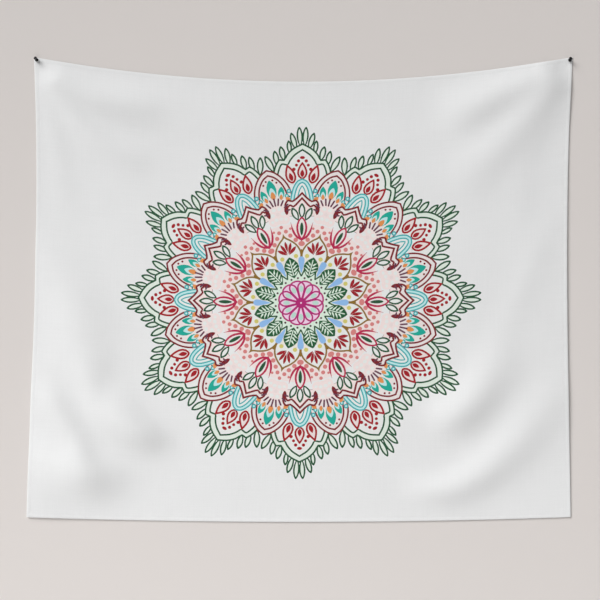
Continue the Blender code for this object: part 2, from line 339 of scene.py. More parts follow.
def at_angle(radius, degrees):
    """A place at an angle clockwise from 12 o'clock."""
    a = math.radians(degrees)
    return np.array((radius * math.sin(a), radius * math.cos(a)))


def turned(points, degrees):
    """Points turned clockwise about the print's centre."""
    a = math.radians(degrees)
    c, s = math.cos(a), math.sin(a)
    x, y = points[:, 0], points[:, 1]
    return np.column_stack((x * c + y * s, -x * s + y * c))


def leaf(base, tip, half, belly=1, fullness=0.85, steps=8):
    """A pointed leaf from base to tip, half its width to each side; belly moves its widest place."""
    base, tip = np.array(base, float), np.array(tip, float)
    t = (1 - np.cos(np.linspace(0, math.pi, steps + 1))) / 2
    w = half * np.abs(np.sin(math.pi * t**belly)) ** fullness
    w[0] = w[-1] = 0
    along = tip - base
    across = np.array((along[1], -along[0])) / np.linalg.norm(along)
    middle = base + t[:, None] * along
    return np.vstack((middle + w[:, None] * across, (middle - w[:, None] * across)[-2:0:-1]))


def leaf_between(base, tip, low, high, half, *shape):
    """A leaf that covers the way from base to tip between two shares of it."""
    base, tip = np.array(base, float), np.array(tip, float)
    way = tip - base
    return leaf(base + way * low, base + way * high, half, *shape)


def petal(path):
    """The closed shape of a path and its mirror image; a first point on the axis is kept once."""
    rest = (path * (-1, 1))[::-1]
    return np.vstack((path, rest[:-1] if path[0][0] == 0 else rest))


def shouldered(tip, shoulder):
    """A path of two curves with a small step between them."""
    return np.vstack((smooth(tip, 3)[:-1], smooth(shoulder, 3)))


def inset(path, distance):
    """The path moved towards the axis, and started again where it leaves the axis."""
    moved = path + normals(path) * distance
    inside = np.argmax(moved[:, 0] > ON_AXIS)
    a, b = moved[inside], moved[inside + 1]
    start = np.array((0, a[1] - a[0] * (b[1] - a[1]) / (b[0] - a[0])))
    return np.vstack((start, moved[inside:]))


class Drawing:
    """The shapes of one sector, in painting order, each with its ink."""

    def __init__(self):
        self.shapes = []

    def paint(self, ink, *outlines, on_b=False):
        """on_b draws on the axis halfway between two points of the star."""
        for outline in outlines:
            self.shapes.append((ink, turned(outline, SECTOR_DEGREES) if on_b else outline))

    def pair(self, ink, *outlines, on_b=False):
        """Outlines and their mirror images in their own axis."""
        for outline in outlines:
            self.paint(ink, outline, outline * (-1, 1), on_b=on_b)

    def lined_leaf(self, line, fill, base, tip, half, mirrored=True, **shape):
        """A leaf with an outline, which is a little wider at its two points."""
        base, tip = np.array(base, float), np.array(tip, float)
        along = (tip - base) / np.linalg.norm(tip - base)
        put = self.pair if mirrored else self.paint
        put(line, leaf(base, tip, half, **shape))
        put(fill, leaf(base + along * PEN * 1.3, tip - along * PEN * 1.5, half - PEN, **shape))

    def lined_petal(self, line, fill, path, pen=PEN, on_b=False):
        """A wide petal, symmetric about its axis, with an outline."""
        self.paint(line, petal(path), on_b=on_b)
        self.paint(fill, petal(inset(path, pen)), on_b=on_b)


# ---- the rings of the print
# Repeated parts, each as its place and its radius or radii
DROP_DOTS = ((0.0215, 0.805, 0.0095), (0.033, 0.781, 0.0085), (0.047, 0.757, 0.01))
CLOUD_OVALS = ((0.044, 0.52, 0.03, 0.034), (0.03, 0.482, 0.03, 0.03), (0.022, 0.553, 0.026, 0.024))
CLOUD_SPOTS = ((0.016, 0.545, 0.0125), (0.03, 0.515, 0.0135), (0.014, 0.488, 0.012), (0.038, 0.48, 0.01))
# Angle, start and end of each stroke of the crown
CROWN_STROKES = (
    (0, 0.046, 0.088), (17, 0.048, 0.086), (36, 0.05, 0.082), (60, 0.052, 0.08), (84, 0.052, 0.074),
)
# Angle, radius and size of each dot on the pink ground
SALMON_DOTS = (
    (5.3, 0.3586, 0.0128), (9.4, 0.386, 0.0124), (12.3, 0.413, 0.0115),
    (15, 0.441, 0.01), (4.3, 0.31, 0.0088), (8.6, 0.425, 0.0075),
)


def draw_leaf_fringe(d):
    """Outline leaves that fan out along the star's edge."""
    fringe = (
        ((0.034, 0.868), (0.065, 0.966), 0.018), ((0.012, 0.886), (0.0195, 1), 0.018),
        ((0.069, 0.843), (0.078, 0.922), 0.0155), ((0.101, 0.803), (0.123, 0.888), 0.0185),
        ((0.136, 0.772), (0.156, 0.862), 0.018), ((0.156, 0.738), (0.209, 0.83), 0.02),
    )
    for base, tip, half in fringe:
        d.lined_leaf("fir_line", "pale_green", base, tip, half, belly=1.1, fullness=0.62)


def draw_green_petals(d):
    """Double-lined petals on the star's points, each with a shoulder."""
    outer = shouldered(
        [(0, 0.906), (0.048, 0.881), (0.084, 0.848), (0.103, 0.812)],
        [(0.105, 0.811), (0.132, 0.812), (0.154, 0.772), (0.164, 0.725), (0.163, 0.68)],
    )
    inner = shouldered(
        [(0, 0.874), (0.044, 0.844), (0.072, 0.81), (0.082, 0.787)],
        [(0.084, 0.786), (0.117, 0.789), (0.134, 0.755), (0.142, 0.715), (0.141, 0.67)],
    )
    d.lined_petal("fir_line", "pale_green", outer)
    d.lined_petal("fir_line", "mist", inner)


def draw_wine_petals(d):
    """Double-lined petals between the points, each with three teal leaves and four dots."""
    outer = [(0, 0.778), (0.042, 0.755), (0.08, 0.71), (0.102, 0.658), (0.108, 0.6), (0.1, 0.55)]
    inner = [(0, 0.748), (0.036, 0.727), (0.066, 0.686), (0.081, 0.636), (0.083, 0.585), (0.076, 0.55)]
    d.lined_petal("wine", "rose_mist", smooth(outer, 4), on_b=True)
    d.lined_petal("wine", "rose_mist", smooth(inner, 4), on_b=True)
    d.pair("wine", dot((0.019, 0.712), 0.006), dot((0.0375, 0.694), 0.0062), on_b=True)
    for base, tip, half, put in (
        ((0.039, 0.592), (0.058, 0.666), 0.0185, d.pair),
        ((0, 0.6), (0, 0.716), 0.0275, d.paint),
    ):
        put("teal", leaf(base, tip, half, 1, 0.75), on_b=True)
        put("ice", leaf_between(base, tip, 0.04, 0.62, half * 0.66, 0.9, 0.7), on_b=True)
        put("apricot", leaf_between(base, tip, 0, 0.42, half * 0.5, 0.9, 0.7), on_b=True)


def draw_red_drops(d):
    """Three drops under the tip of each green petal, and a chain of dots over them."""
    for base, tip, half, put in (
        ((0.05, 0.676), (0.086, 0.784), 0.03, d.pair),
        ((0, 0.7), (0, 0.8), 0.029, d.paint),
    ):
        put("red", leaf(base, tip, half, 0.72))
        put("petal_pink", leaf_between(base, tip, 0.1, 0.84, half * 0.64, 0.72))
        put("red", leaf_between(base, tip, 0.13, 0.56, half * 0.4, 0.85))
    d.paint("red", oval((0, 0.824), 0.014, 0.0088))
    for x, y, r in DROP_DOTS:
        d.pair("red", dot((x, y), r, 9))


def draw_cyan_arches(d):
    """Nested arches behind each wine scallop, with small loops at their feet."""
    arch = smooth([(0, 0.706), (0.028, 0.692), (0.049, 0.66), (0.061, 0.618), (0.069, 0.57)], 4)
    d.lined_petal("cyan", "ice", arch, pen=0.0076)
    d.lined_petal("cyan", "mist", inset(arch, 0.018), pen=0.0072)
    d.lined_petal("cyan", "mist", inset(arch, 0.037), pen=0.0064)
    for x, y, r in ((0.074, 0.634, 0.0135), (0.085, 0.606, 0.0125)):
        d.pair("cyan", dot((x, y), r, 10))
        d.pair("ice", dot((x, y), r * 0.45))
    d.pair("apricot", leaf((0.062, 0.57), (0.09, 0.6), 0.012, 1, 0.7))
    d.pair("leaf_green", dot((0.07, 0.603), 0.0048, 7))


def draw_wine_scallops(d):
    """A double scalloped line on each point, which ends in a drop."""
    outer = shouldered(
        [(0, 0.63), (0.028, 0.601), (0.053, 0.58)],
        [(0.055, 0.58), (0.078, 0.585), (0.094, 0.568), (0.1, 0.535), (0.097, 0.505)],
    )
    inner = shouldered(
        [(0, 0.601), (0.023, 0.576), (0.046, 0.55)],
        [(0.048, 0.55), (0.066, 0.558), (0.08, 0.547), (0.087, 0.52), (0.083, 0.49)],
    )
    d.lined_petal("wine", "rose_mist", outer, pen=0.0104)
    d.lined_petal("wine", "shell", inner, pen=0.0104)


def draw_pink_clouds(d):
    """Soft pink fields between the points, under a crown of short strokes."""
    for x, y, rx, ry in CLOUD_OVALS:
        d.pair("shell", oval((x, y), rx, ry), on_b=True)
    d.paint("shell", oval((0, 0.515), 0.052, 0.058, 16), on_b=True)
    for x, y, r in CLOUD_SPOTS:
        d.pair("mist", oval((x, y), r, r * 0.85, 8), on_b=True)
    d.paint("petal_pink", dot((0, 0.517), 0.0115), on_b=True)
    d.pair("wine", leaf((0.09, 0.566), (0.083, 0.497), 0.0125, 1.3, 0.7))
    heart = np.array((0, 0.52))
    for angle, low, high in CROWN_STROKES:
        path = [heart + at_angle(reach, angle) for reach in (low, (low + high) / 2, high)]
        (d.pair if angle else d.paint)("plum", ribbon(path, PEN, 2), on_b=True)


def draw_buds(d):
    """A rose bud on each point, between two slim blades and under three outlined leaves."""
    d.paint("shell", dot((0, 0), 0.45, 72))
    d.lined_leaf("fir_line", "mist", (0.019, 0.466), (0.056, 0.54), 0.019, belly=1.1, fullness=0.72)
    d.lined_leaf("fir_line", "mist", (0, 0.478), (0, 0.566), 0.02, False, belly=1.05, fullness=0.72)
    blade = [(0.002, 0.36), (0.028, 0.376), (0.048, 0.408), (0.062, 0.456)]
    d.pair("rose", ribbon(blade, 0.0118, 4, point_end=0.35))
    d.paint("rose", leaf((0, 0.35), (0, 0.488), 0.031, 1.15, 0.62, 9))
    d.paint("rose_mist", leaf((0, 0.369), (0, 0.477), 0.02, 1.15, 0.62))
    d.paint("fir_line", leaf((0, 0.382), (0, 0.456), 0.0098, 1.1, 0.5))


def draw_salmon_dots(d):
    """Arcs of dots that link the buds, on a pink ground."""
    d.paint("salmon", oval((0, 0.336), 0.0185, 0.0148))
    for angle, radius, size in SALMON_DOTS:
        d.pair("salmon", dot(at_angle(radius, angle), size, 10))


def draw_gold_petals(d):
    """Pointed petals between the points, each with a fan of red leaves."""
    side = [(0, 0.404), (0.01, 0.381), (0.035, 0.359), (0.06, 0.329), (0.0735, 0.292), (0.0735, 0.25)]
    d.lined_petal("gold", "mist", smooth(side, 4), on_b=True)
    d.paint("gold", ribbon([(0, 0.24), (0, 0.262), (0, 0.3)], 0.013, 2))
    d.paint("crimson", leaf((0, 0.296), (0, 0.358), 0.008, 1.3, 0.8), on_b=True)
    d.pair("crimson", leaf((0.003, 0.284), (0.03, 0.346), 0.0086, 1.2, 0.8), on_b=True)
    d.pair("crimson", leaf((0.004, 0.28), (0.053, 0.318), 0.0094, 1.2, 0.8), on_b=True)


def draw_heart_field(d):
    """The ground of the inner rings, yellow dots and blue wedges."""
    d.paint("cream", dot((0, 0), 0.25, 72))
    d.paint("leaf_mist", dot((0, 0), 0.186, 72))
    d.pair("straw", dot(at_angle(0.267, 6.6), 0.0122, 10))
    wedge = smooth([(0, 0.264), (0.0135, 0.257), (0.0175, 0.238), (0.011, 0.205), (0.003, 0.172)], 3)
    d.paint("sky", petal(wedge))


def draw_veined_leaves(d):
    """Twelve veined leaves round the heart, with small points between them."""
    d.pair("fir_line", ribbon([(0, 0.152), (0.01, 0.172), (0.026, 0.206)], 0.0078, 3))
    d.paint("leaf_green", leaf((0, 0.144), (0, 0.266), 0.0415, 1.05, 0.85, 12), on_b=True)
    d.paint("leaf_mist", ribbon([(0, 0.16), (0, 0.205), (0, 0.25)], 0.0056, 2), on_b=True)
    foot = 0.0085
    for k, reach in enumerate((0.019, 0.0275, 0.0265, 0.018)):
        y = 0.163 + 0.019 * k
        vein = [(foot, y), (foot + reach * 0.5, y + 0.0105), (foot + reach, y + 0.0165)]
        d.pair("leaf_mist", ribbon(vein, 0.0086, 2, point_end=0.6), on_b=True)


def draw_rosette(d):
    """Twelve petals that overlap round a solid hub, inside a ring of dots."""
    d.pair("mauve", dot(at_angle(0.141, 7.5), 0.0062))
    side = [(0, 0.125), (0.019, 0.1215), (0.035, 0.108), (0.0415, 0.088), (0.034, 0.064), (0.012, 0.024)]
    side = smooth(side, 3)
    d.paint("blush", petal(side), on_b=True)
    d.paint("blush", dot((0, 0), 0.108, 48))
    d.paint("mint", oval((0, 0.08), 0.012, 0.0185, 10))
    d.pair("magenta", ribbon(side[::3], 0.0088, 3), on_b=True)
    d.paint("magenta", dot((0, 0), 0.03, 36))
    d.paint("blush", dot((0, 0), 0.0052, 12))


def draw_sector():
    """Everything in painting order, from the star's edge to its heart."""
    d = Drawing()
    for draw in (
        draw_leaf_fringe, draw_green_petals, draw_wine_petals, draw_red_drops, draw_cyan_arches,
        draw_wine_scallops, draw_pink_clouds, draw_buds, draw_salmon_dots, draw_gold_petals,
        draw_heart_field, draw_veined_leaves, draw_rosette,
    ):
        draw(d)
    return d.shapes


# ---- from drawing to mesh
def anticlockwise(outline):
    """The outline, turned round if it runs clockwise."""
    x, y = outline[:, 0], outline[:, 1]
    area = np.dot(x, np.roll(y, -1)) - np.dot(y, np.roll(x, -1))
    return outline if area > 0 else outline[::-1]


def past_edge(points):
    """How far points lie past the half sector's slanting edge; its other edge is the y axis."""
    points = np.asarray(points)
    return points[..., 0] * math.cos(SECTOR) - points[..., 1] * math.sin(SECTOR)


def copies_in_sector(shapes):
    """Each mirrored or turned copy of a shape that reaches into the half sector."""
    found = []
    for ink, outline in shapes:
        seen = set()
        outline = anticlockwise(outline)
        for base in (outline, (outline * (-1, 1))[::-1]):
            for k in range(COPIES):
                p = turned(base, 2 * SECTOR_DEGREES * k)
                reaches = p.max(axis=0).min() >= -SHAPE_REACH and past_edge(p).min() <= SHAPE_REACH
                corners = np.round(np.sort(p.sum(axis=1))[:3], 5)
                key = (*corners, *np.round(p.mean(axis=0), 5))
                if reaches and key not in seen:
                    seen.add(key)
                    found.append((ink, p))
    return found


def filling_points():
    """Points of a hexagonal grid inside the half sector, so that its faces stay small."""
    points = []
    rows = int(PRINT_DISC / (FILL_PITCH * FILL_RISE)) + 1
    for j in range(1, rows):
        for i in range(rows):
            place = ((i + 0.5 * (j % 2)) * FILL_PITCH, j * FILL_PITCH * FILL_RISE)
            inside = place[0] > 0.3 * FILL_PITCH and past_edge(place) < -0.3 * FILL_PITCH
            if inside and math.hypot(*place) < PRINT_DISC - 0.4 * FILL_PITCH:
                points.append(place)
    return points


def rim_points(half_sectors):
    """Points along the rim of the print's mesh, over that many half sectors."""
    count = half_sectors * RIM_STEPS + 1
    return [at_angle(PRINT_DISC, SECTOR_DEGREES * k / RIM_STEPS) for k in range(count)]


def sector_border():
    """Points round the half sector: up its first edge, along the rim and back down the other."""
    spokes = np.arange(FILL_PITCH, PRINT_DISC - 0.5 * FILL_PITCH, FILL_PITCH)
    up = [at_angle(r, 0) for r in (0, *spokes)]
    down = [at_angle(r, SECTOR_DEGREES) for r in spokes[::-1]]
    return up + rim_points(1) + down


def loop_edges(loop):
    """Edges that join the points of a closed loop."""
    return list(zip(loop, loop[1:] + loop[:1]))


def mesh_half_sector():
    """Triangles of the half sector, each with the ink of the top shape that covers it."""
    points = sector_border()
    edges = loop_edges(list(range(len(points))))
    points += filling_points()
    outlines, inks = [], []
    for ink, outline in copies_in_sector(draw_sector()):
        outlines.append(list(range(len(points), len(points) + len(outline))))
        inks.append(list(INKS).index(ink))
        points += list(outline)
    result = delaunay_2d_cdt([Vector(p) for p in points], edges, outlines, 0, 1e-5, True)
    verts = np.array([tuple(v) for v in result[0]])
    kept, slots = [], []
    for face, covers in zip(result[2], result[5]):
        middle = verts[list(face)].mean(axis=0)
        if middle[0] >= 0 and past_edge(middle) <= 0 and middle[1] <= PRINT_DISC:
            kept.append(face)
            slots.append(inks[max(covers)] if covers else 0)
    return verts, np.array(kept), np.array(slots)


def whole_print():
    """The half sector mirrored and turned into the whole disc, in drawing units."""
    verts, faces, slots = mesh_half_sector()
    all_verts, all_faces = [], []
    for k in range(COPIES):
        turn, first = 2 * SECTOR_DEGREES * k, 2 * k * len(verts)
        all_verts += [turned(verts, turn), turned(verts * (-1, 1), turn)]
        all_faces += [faces + first, faces[:, ::-1] + first + len(verts)]
    return merge(np.vstack(all_verts), np.vstack(all_faces), np.tile(slots, 2 * COPIES))


def merge(verts, faces, slots):
    """Joins points that meet, and drops the faces that this closes up."""
    cells = np.round(verts / WELD_GRID).astype(np.int64)
    _, first, index = np.unique(cells, axis=0, return_index=True, return_inverse=True)
    faces = index.reshape(-1)[faces]
    good = (faces != np.roll(faces, 1, axis=1)).all(axis=1)
    return verts[first], faces[good], slots[good]


def edge_lines(length):
    """Grid lines across the cloth: fine in the hems, even between."""
    hem = np.array(HEM_LINES)
    count = round((length - 2 * hem[-1]) / GRID)
    inner = np.linspace(hem[-1], length - hem[-1], count + 1)
    return np.concatenate((hem[:-1], inner, length - hem[-2::-1]))


def cloth_grid():
    """Flat points of a grid over the cloth, row by row, and its numbers of columns and rows."""
    columns, rows = edge_lines(CLOTH_WIDTH), edge_lines(CLOTH_HEIGHT)
    return np.array([(x, y) for y in rows for x in columns]), len(columns), len(rows)


def round_the_edge(wide, high):
    """Indices of a grid's outermost points, once round."""
    index = np.arange(wide * high).reshape(high, wide)
    sides = (index[0], index[1:, -1], index[-1, -2::-1], index[-2:0:-1, 0])
    return np.concatenate(sides).tolist()


def on_cloth(drawn):
    """Flat places (across, down) of points in drawing units."""
    return PRINT_CENTRE + drawn * PRINT_RADII * (1, -1)


def from_print(points):
    """Distance of flat points from the print's centre, in shares of its radius."""
    return np.linalg.norm((points - PRINT_CENTRE) / PRINT_RADII, axis=-1)


def plain_rest():
    """The plain cloth round the print: flat points and triangles."""
    rim = on_cloth(np.array(rim_points(2 * COPIES)[:-1]))
    grid, wide, high = cloth_grid()
    away = from_print(grid) > PRINT_DISC + 0.45 * GRID / PRINT_RADIUS
    index = np.full(len(grid), -1)
    index[away] = np.arange(away.sum()) + len(rim)
    border = [int(index[i]) for i in round_the_edge(wide, high)]
    points = [Vector(p) for p in np.vstack((rim, grid[away]))]
    edges = loop_edges(list(range(len(rim)))) + loop_edges(border)
    result = delaunay_2d_cdt(points, edges, [], 0, 1e-7, False)
    verts, faces = np.array([tuple(v) for v in result[0]]), np.array(result[2])
    chord = PRINT_DISC * math.cos(SECTOR / RIM_STEPS / 2)
    return verts, faces[from_print(verts[faces].mean(axis=1)) > chord - 1e-6]


def front_faces():
    """The whole printed face: the print's disc and the plain rest, wound to face the viewer."""
    disc, disc_faces, slots = whole_print()
    disc = on_cloth(disc)
    rest, rest_faces = plain_rest()
    faces = np.vstack((disc_faces, rest_faces[:, ::-1] + len(disc)))
    slots = np.concatenate((slots, np.zeros(len(rest_faces), int)))
    return merge(np.vstack((disc, rest)), faces, slots)


def hem_relief(flat):
    """Height of the cloth's face: rounded at its edges, pinched at the seams, flat inside."""
    across = np.minimum(flat[:, 0], CLOTH_WIDTH - flat[:, 0])
    down = np.minimum(flat[:, 1], CLOTH_HEIGHT - flat[:, 1])
    inward = np.minimum(across, down)
    along = np.where(across < down, flat[:, 1], flat[:, 0])
    from_seam = inward - SEAM_INSET
    edge = EDGE_DROP * np.exp(-inward / EDGE_REACH)
    pinch = SEAM_PINCH * np.exp(-((from_seam / SEAM_REACH) ** 2))
    step = HEM_STEP * ease(0, HEM_STEP_WIDTH, from_seam)
    waves = sum(share * np.sin(along / length + shift) for share, length, shift in PUCKER_WAVES)
    return PUCKER * waves * np.exp(-((from_seam / PUCKER_REACH) ** 2)) - edge - pinch - step


def new_piece(name, verts, faces, materials, slots=None, flat=None):
    """A smooth mesh object, with the cloth's flat place of each point as its UV map."""
    mesh = bpy.data.meshes.new(name)
    mesh.from_pydata([tuple(v) for v in verts], [], [tuple(int(i) for i in f) for f in faces])
    for material in materials:
        mesh.materials.append(material)
    if slots is not None:
        mesh.polygons.foreach_set("material_index", np.asarray(slots, np.int32))
    if flat is not None:
        corners = np.zeros(len(mesh.loops), np.int32)
        mesh.loops.foreach_get("vertex_index", corners)
        layer = mesh.uv_layers.new(name="flat_cloth")
        layer.data.foreach_set("uv", flat[corners].astype(np.float32).ravel())
    mesh.shade_smooth()
    mesh.update()
    return link_object(name, mesh)


def link_object(name, data):
    """An object in the scene with that mesh, light or camera."""
    item = bpy.data.objects.new(name, data)
    bpy.context.scene.collection.objects.link(item)
    return item


# ---- materials
class Surface:
    """A new material and short ways to make its nodes; a value is a number or an output."""

    def __init__(self, name):
        self.material = bpy.data.materials.new(name)
        self.material.use_nodes = True
        self.tree = self.material.node_tree
        self.shader = self.tree.nodes["Principled BSDF"]

    def add(self, kind, values, **settings):
        """A node with its settings and its input values."""
        node = self.tree.nodes.new(kind)
        for key, setting in settings.items():
            setattr(node, key, setting)
        self.fill(node, values)
        return node

    def fill(self, node, values):
        """Sets or links a node's inputs."""
        for key, value in values.items():
            if isinstance(value, bpy.types.NodeSocket):
                self.tree.links.new(value, node.inputs[key])
            else:
                node.inputs[key].default_value = value

    def look(self, values):
        """Sets or links the shader's inputs."""
        self.fill(self.shader, values)

    def calc(self, operation, *values):
        """The result of a calculation."""
        return self.add("ShaderNodeMath", dict(enumerate(values)), operation=operation).outputs[0]

    def between(self, low, high, value):
        """Runs from low to high as the value runs from 0 to 1."""
        return self.calc("MULTIPLY_ADD", value, high - low, low)

    def noise(self, place, scale, detail):
        """The output of a noise texture."""
        values = {"Vector": place, "Scale": scale, "Detail": detail}
        return self.add("ShaderNodeTexNoise", values).outputs["Fac"]

    def stretched(self, place, scale):
        """A place stretched by a scale for each axis."""
        return self.add("ShaderNodeMapping", {"Vector": place, "Scale": scale}).outputs["Vector"]

    def bump(self, height, strength, distance):
        """Bumps the shader's surface."""
        values = {"Height": height, "Strength": strength, "Distance": distance}
        self.look({"Normal": self.add("ShaderNodeBump", values).outputs["Normal"]})

    def ramp(self, value, dark, light, start=0, end=1):
        """Colours the shader from dark to light."""
        node = self.add("ShaderNodeValToRGB", {"Fac": value})
        for stop, position, colour in zip(node.color_ramp.elements, (start, end), (dark, light)):
            stop.position = position
            stop.color = (*colour, 1)
        self.look({"Base Color": node.outputs["Color"]})


def thread_wave(made, place, direction):
    """Even threads across one direction of the cloth."""
    values = {"Vector": place, "Scale": 400, "Distortion": 0.6, "Detail": 1}
    wave = made.add("ShaderNodeTexWave", values, wave_type="BANDS", bands_direction=direction)
    return wave.outputs["Fac"]


def woven(name, colour, roughness=0.82, gap_shade_depth=0.1, sheen=0.25):
    """Printed plain-woven cloth: threads, slubs and a slightly uneven take-up of the ink; painted shade
    in the spaces between threads.
    """
    made = Surface(name)
    place = made.add("ShaderNodeUVMap", {}, uv_map="flat_cloth").outputs["UV"]
    crossings = made.calc("MULTIPLY", thread_wave(made, place, "X"), thread_wave(made, place, "Y"))
    ways = ((9, 420, 1), (420, 9, 1))
    slubs = [made.noise(made.stretched(place, way), scale=1, detail=2) for way in ways]
    cloud = made.noise(place, scale=7, detail=3)
    # how each place's colour is scaled: painted shade in the spaces between threads, and the random tone
    # of slubs and ink
    gap_shade = made.between(1 - gap_shade_depth / 2, 1 + gap_shade_depth / 2, crossings)
    uneven = made.between(-0.05, 0, made.calc("ADD", *slubs))
    broad = made.between(-0.025, 0.025, cloud)
    bright = made.calc("ADD", gap_shade, made.calc("ADD", uneven, broad))
    tint = made.add("ShaderNodeVectorMath", {0: colour, "Scale": bright}, operation="SCALE")
    made.bump(crossings, strength=0.25, distance=0.0002)
    made.look({
        "Base Color": tint.outputs[0],
        "Roughness": made.between(roughness - 0.05, roughness + 0.05, cloud),
        "Specular IOR Level": 0.25,
        "Sheen Weight": sheen,
        "Sheen Roughness": 0.5,
    })
    return made.material


def moulded_plastic():
    """Black moulded plastic with a fine grain and a little dust in it."""
    made = Surface("black_plastic")
    place = made.add("ShaderNodeTexCoord", {}).outputs["Object"]
    grain = made.noise(place, scale=900, detail=4)
    dust = made.noise(place, scale=260, detail=6)
    made.ramp(dust, (0.004, 0.004, 0.005), (0.016, 0.016, 0.017), start=0.35, end=0.8)
    made.bump(grain, strength=0.12, distance=0.0001)
    made.look({"Roughness": made.between(0.4, 0.6, dust), "Specular IOR Level": 0.2})
    return made.material


def drawn_steel():
    """Bright drawn steel with fine lines along the needle."""
    made = Surface("drawn_steel")
    place = made.add("ShaderNodeTexCoord", {}).outputs["Object"]
    lines = made.noise(made.stretched(place, (6000, 300, 6000)), scale=1, detail=3)
    made.ramp(lines, (0.42, 0.43, 0.45), (0.7, 0.71, 0.73))
    made.look({"Roughness": made.between(0.14, 0.34, lines), "Metallic": 1})
    return made.material


# ---- pieces
def build_cloth(materials):
    """The whole printed sheet, closed: printed face, plain back, and the rim between."""
    flat, faces, slots = front_faces()
    back_flat, wide, high = cloth_grid()
    count = len(flat)
    starts = [j * wide + i + count for j in range(high - 1) for i in range(wide - 1)]
    quads = [(a, a + 1, a + wide + 1, a + wide) for a in starts]
    back_edge = round_the_edge(wide, high)
    front_edge = [int(np.argmin(np.abs(flat - back_flat[i]).sum(axis=1))) for i in back_edge]
    rim_edges = zip(loop_edges(front_edge), loop_edges(back_edge))
    rim = [(a, b, d + count, c + count) for (a, b), (c, d) in rim_edges]
    front = hang(flat, CLOTH_FRONT + hem_relief(flat))
    back = hang(back_flat, CLOTH_FRONT - CLOTH_THICKNESS + hem_relief(back_flat))
    faces = [*faces, *quads, *rim]
    slots = [*slots, *[len(materials) - 1] * len(quads), *[0] * len(rim)]
    verts = np.vstack((front, back))
    return new_piece("printed_cloth", verts, faces, materials, slots, np.vstack((flat, back_flat)))


def run_of(side, inset_by, start, pitch):
    """Flat points at one distance from an edge of the cloth; the run starts and ends short of it."""
    length, depth = (CLOTH_WIDTH, CLOTH_HEIGHT) if side in LEVEL_SIDES else (CLOTH_HEIGHT, CLOTH_WIDTH)
    along = np.arange(start, length - start + 1e-9, pitch)
    gap = np.full(len(along), depth - inset_by if side in ("bottom", "right") else inset_by)
    return np.column_stack((along, gap) if side in LEVEL_SIDES else (gap, along))


def tube_faces(rings, sides, first=0):
    """Faces of a closed tube whose points come ring by ring: its walls and its two ends."""
    faces = []
    for ring in range(first, first + (rings - 1) * sides, sides):
        for k in range(sides):
            a, b = ring + k, ring + (k + 1) % sides
            faces.append((a, b, b + sides, a + sides))
    faces.append(tuple(range(first, first + sides))[::-1])
    faces.append(tuple(range(first + (rings - 1) * sides, first + rings * sides)))
    return faces


def build_hem(side, material):
    """The folded edge behind the cloth: a flat tube of two layers with a rounded fold."""
    start = 0 if side in LEVEL_SIDES else HEM_WIDTH + HEM_END_GAP
    flats = [run_of(side, inset_by, start, HEM_PITCH) for inset_by, _ in HEM_PROFILE]
    depths = [HEM_FRONT - behind + hem_relief(flat) for flat, (_, behind) in zip(flats, HEM_PROFILE)]
    flat = np.stack(flats, axis=1).reshape(-1, 2)
    depth = np.stack(depths, axis=1).reshape(-1)
    faces = tube_faces(len(flats[0]), len(HEM_PROFILE))
    if side in ("bottom", "left"):
        faces = [f[::-1] for f in faces]
    return new_piece(f"{side}_hem_fold", hang(flat, depth), faces, [material], None, flat)


def stitch_points():
    """One stitch, ring by ring: place along and across the seam, and height over its base."""
    points = []
    for u in np.linspace(-1, 1, STITCH_RINGS):
        radius = THREAD_RADIUS * math.sqrt(max(0.06, 1 - 0.9 * u * u))
        bow = STITCH_BOW * (1 - u * u) - STITCH_DIVE
        for k in range(STITCH_SIDES):
            a = 2 * math.pi * k / STITCH_SIDES
            points.append((u * STITCH_LENGTH / 2, radius * math.cos(a), bow + radius * math.sin(a)))
    return np.array(points)


def build_stitches(side, kind, material):
    """One thread of a lockstitch: a row of short, bowed stitches that dive in at both ends."""
    level, needle = side in LEVEL_SIDES, kind == "needle"
    start = (SEAM_START if level else HEM_WIDTH) + STITCH_PITCH / 2
    centres = run_of(side, SEAM_INSET, start, STITCH_PITCH)
    stitch = stitch_points()
    around = stitch[:, :2] if level else stitch[:, 1::-1]
    flat = (centres[:, None] + around).reshape(-1, 2)
    height = CLOTH_FRONT + THREAD_RISE + stitch[:, 2] if needle else HEM_FRONT - HEM_BACK - stitch[:, 2]
    depth = (hem_relief(centres)[:, None] + height).reshape(-1)
    faces = []
    for first in range(0, len(flat), len(stitch)):
        faces += tube_faces(STITCH_RINGS, STITCH_SIDES, first)
    if level == needle:
        faces = [f[::-1] for f in faces]
    return new_piece(f"{side}_{kind}_stitches", hang(flat, depth), faces, [material], None, flat)


def lathe(name, profile, steps, centre, axis, material):
    """A solid turned round an axis from (radius, height) points, from top to bottom."""
    turn = Vector((0, 0, 1)).rotation_difference(Vector(axis))
    verts, faces = [], []
    for radius, height in profile[1:-1]:
        for k in range(steps):
            a = 2 * math.pi * k / steps
            verts.append(Vector((radius * math.cos(a), radius * math.sin(a), height)))
    last = len(verts) - steps
    verts += [Vector((0, 0, profile[0][1])), Vector((0, 0, profile[-1][1]))]
    for k in range(steps):
        after = (k + 1) % steps
        faces += [(i + k, i + k + steps, i + after + steps, i + after) for i in range(0, last, steps)]
        faces += [(k, after, last + steps), (last + after, last + k, last + steps + 1)]
    item = new_piece(name, [turn @ v + Vector(centre) for v in verts], faces, [material])
    item.data.set_sharp_from_angle(angle=math.radians(38))
    return item


def rounded_disc(radius, low, high, edge_round, steps=5):
    """Outer points of a disc with round edges, from its top to its bottom."""
    upper, lower = [], []
    for k in range(steps + 1):
        a = math.pi / 2 * k / steps
        inward, drop = edge_round * (1 - math.sin(a)), edge_round * (1 - math.cos(a))
        upper.append((radius - inward, high - drop))
        lower.append((radius - drop, low + inward))
    return upper + lower


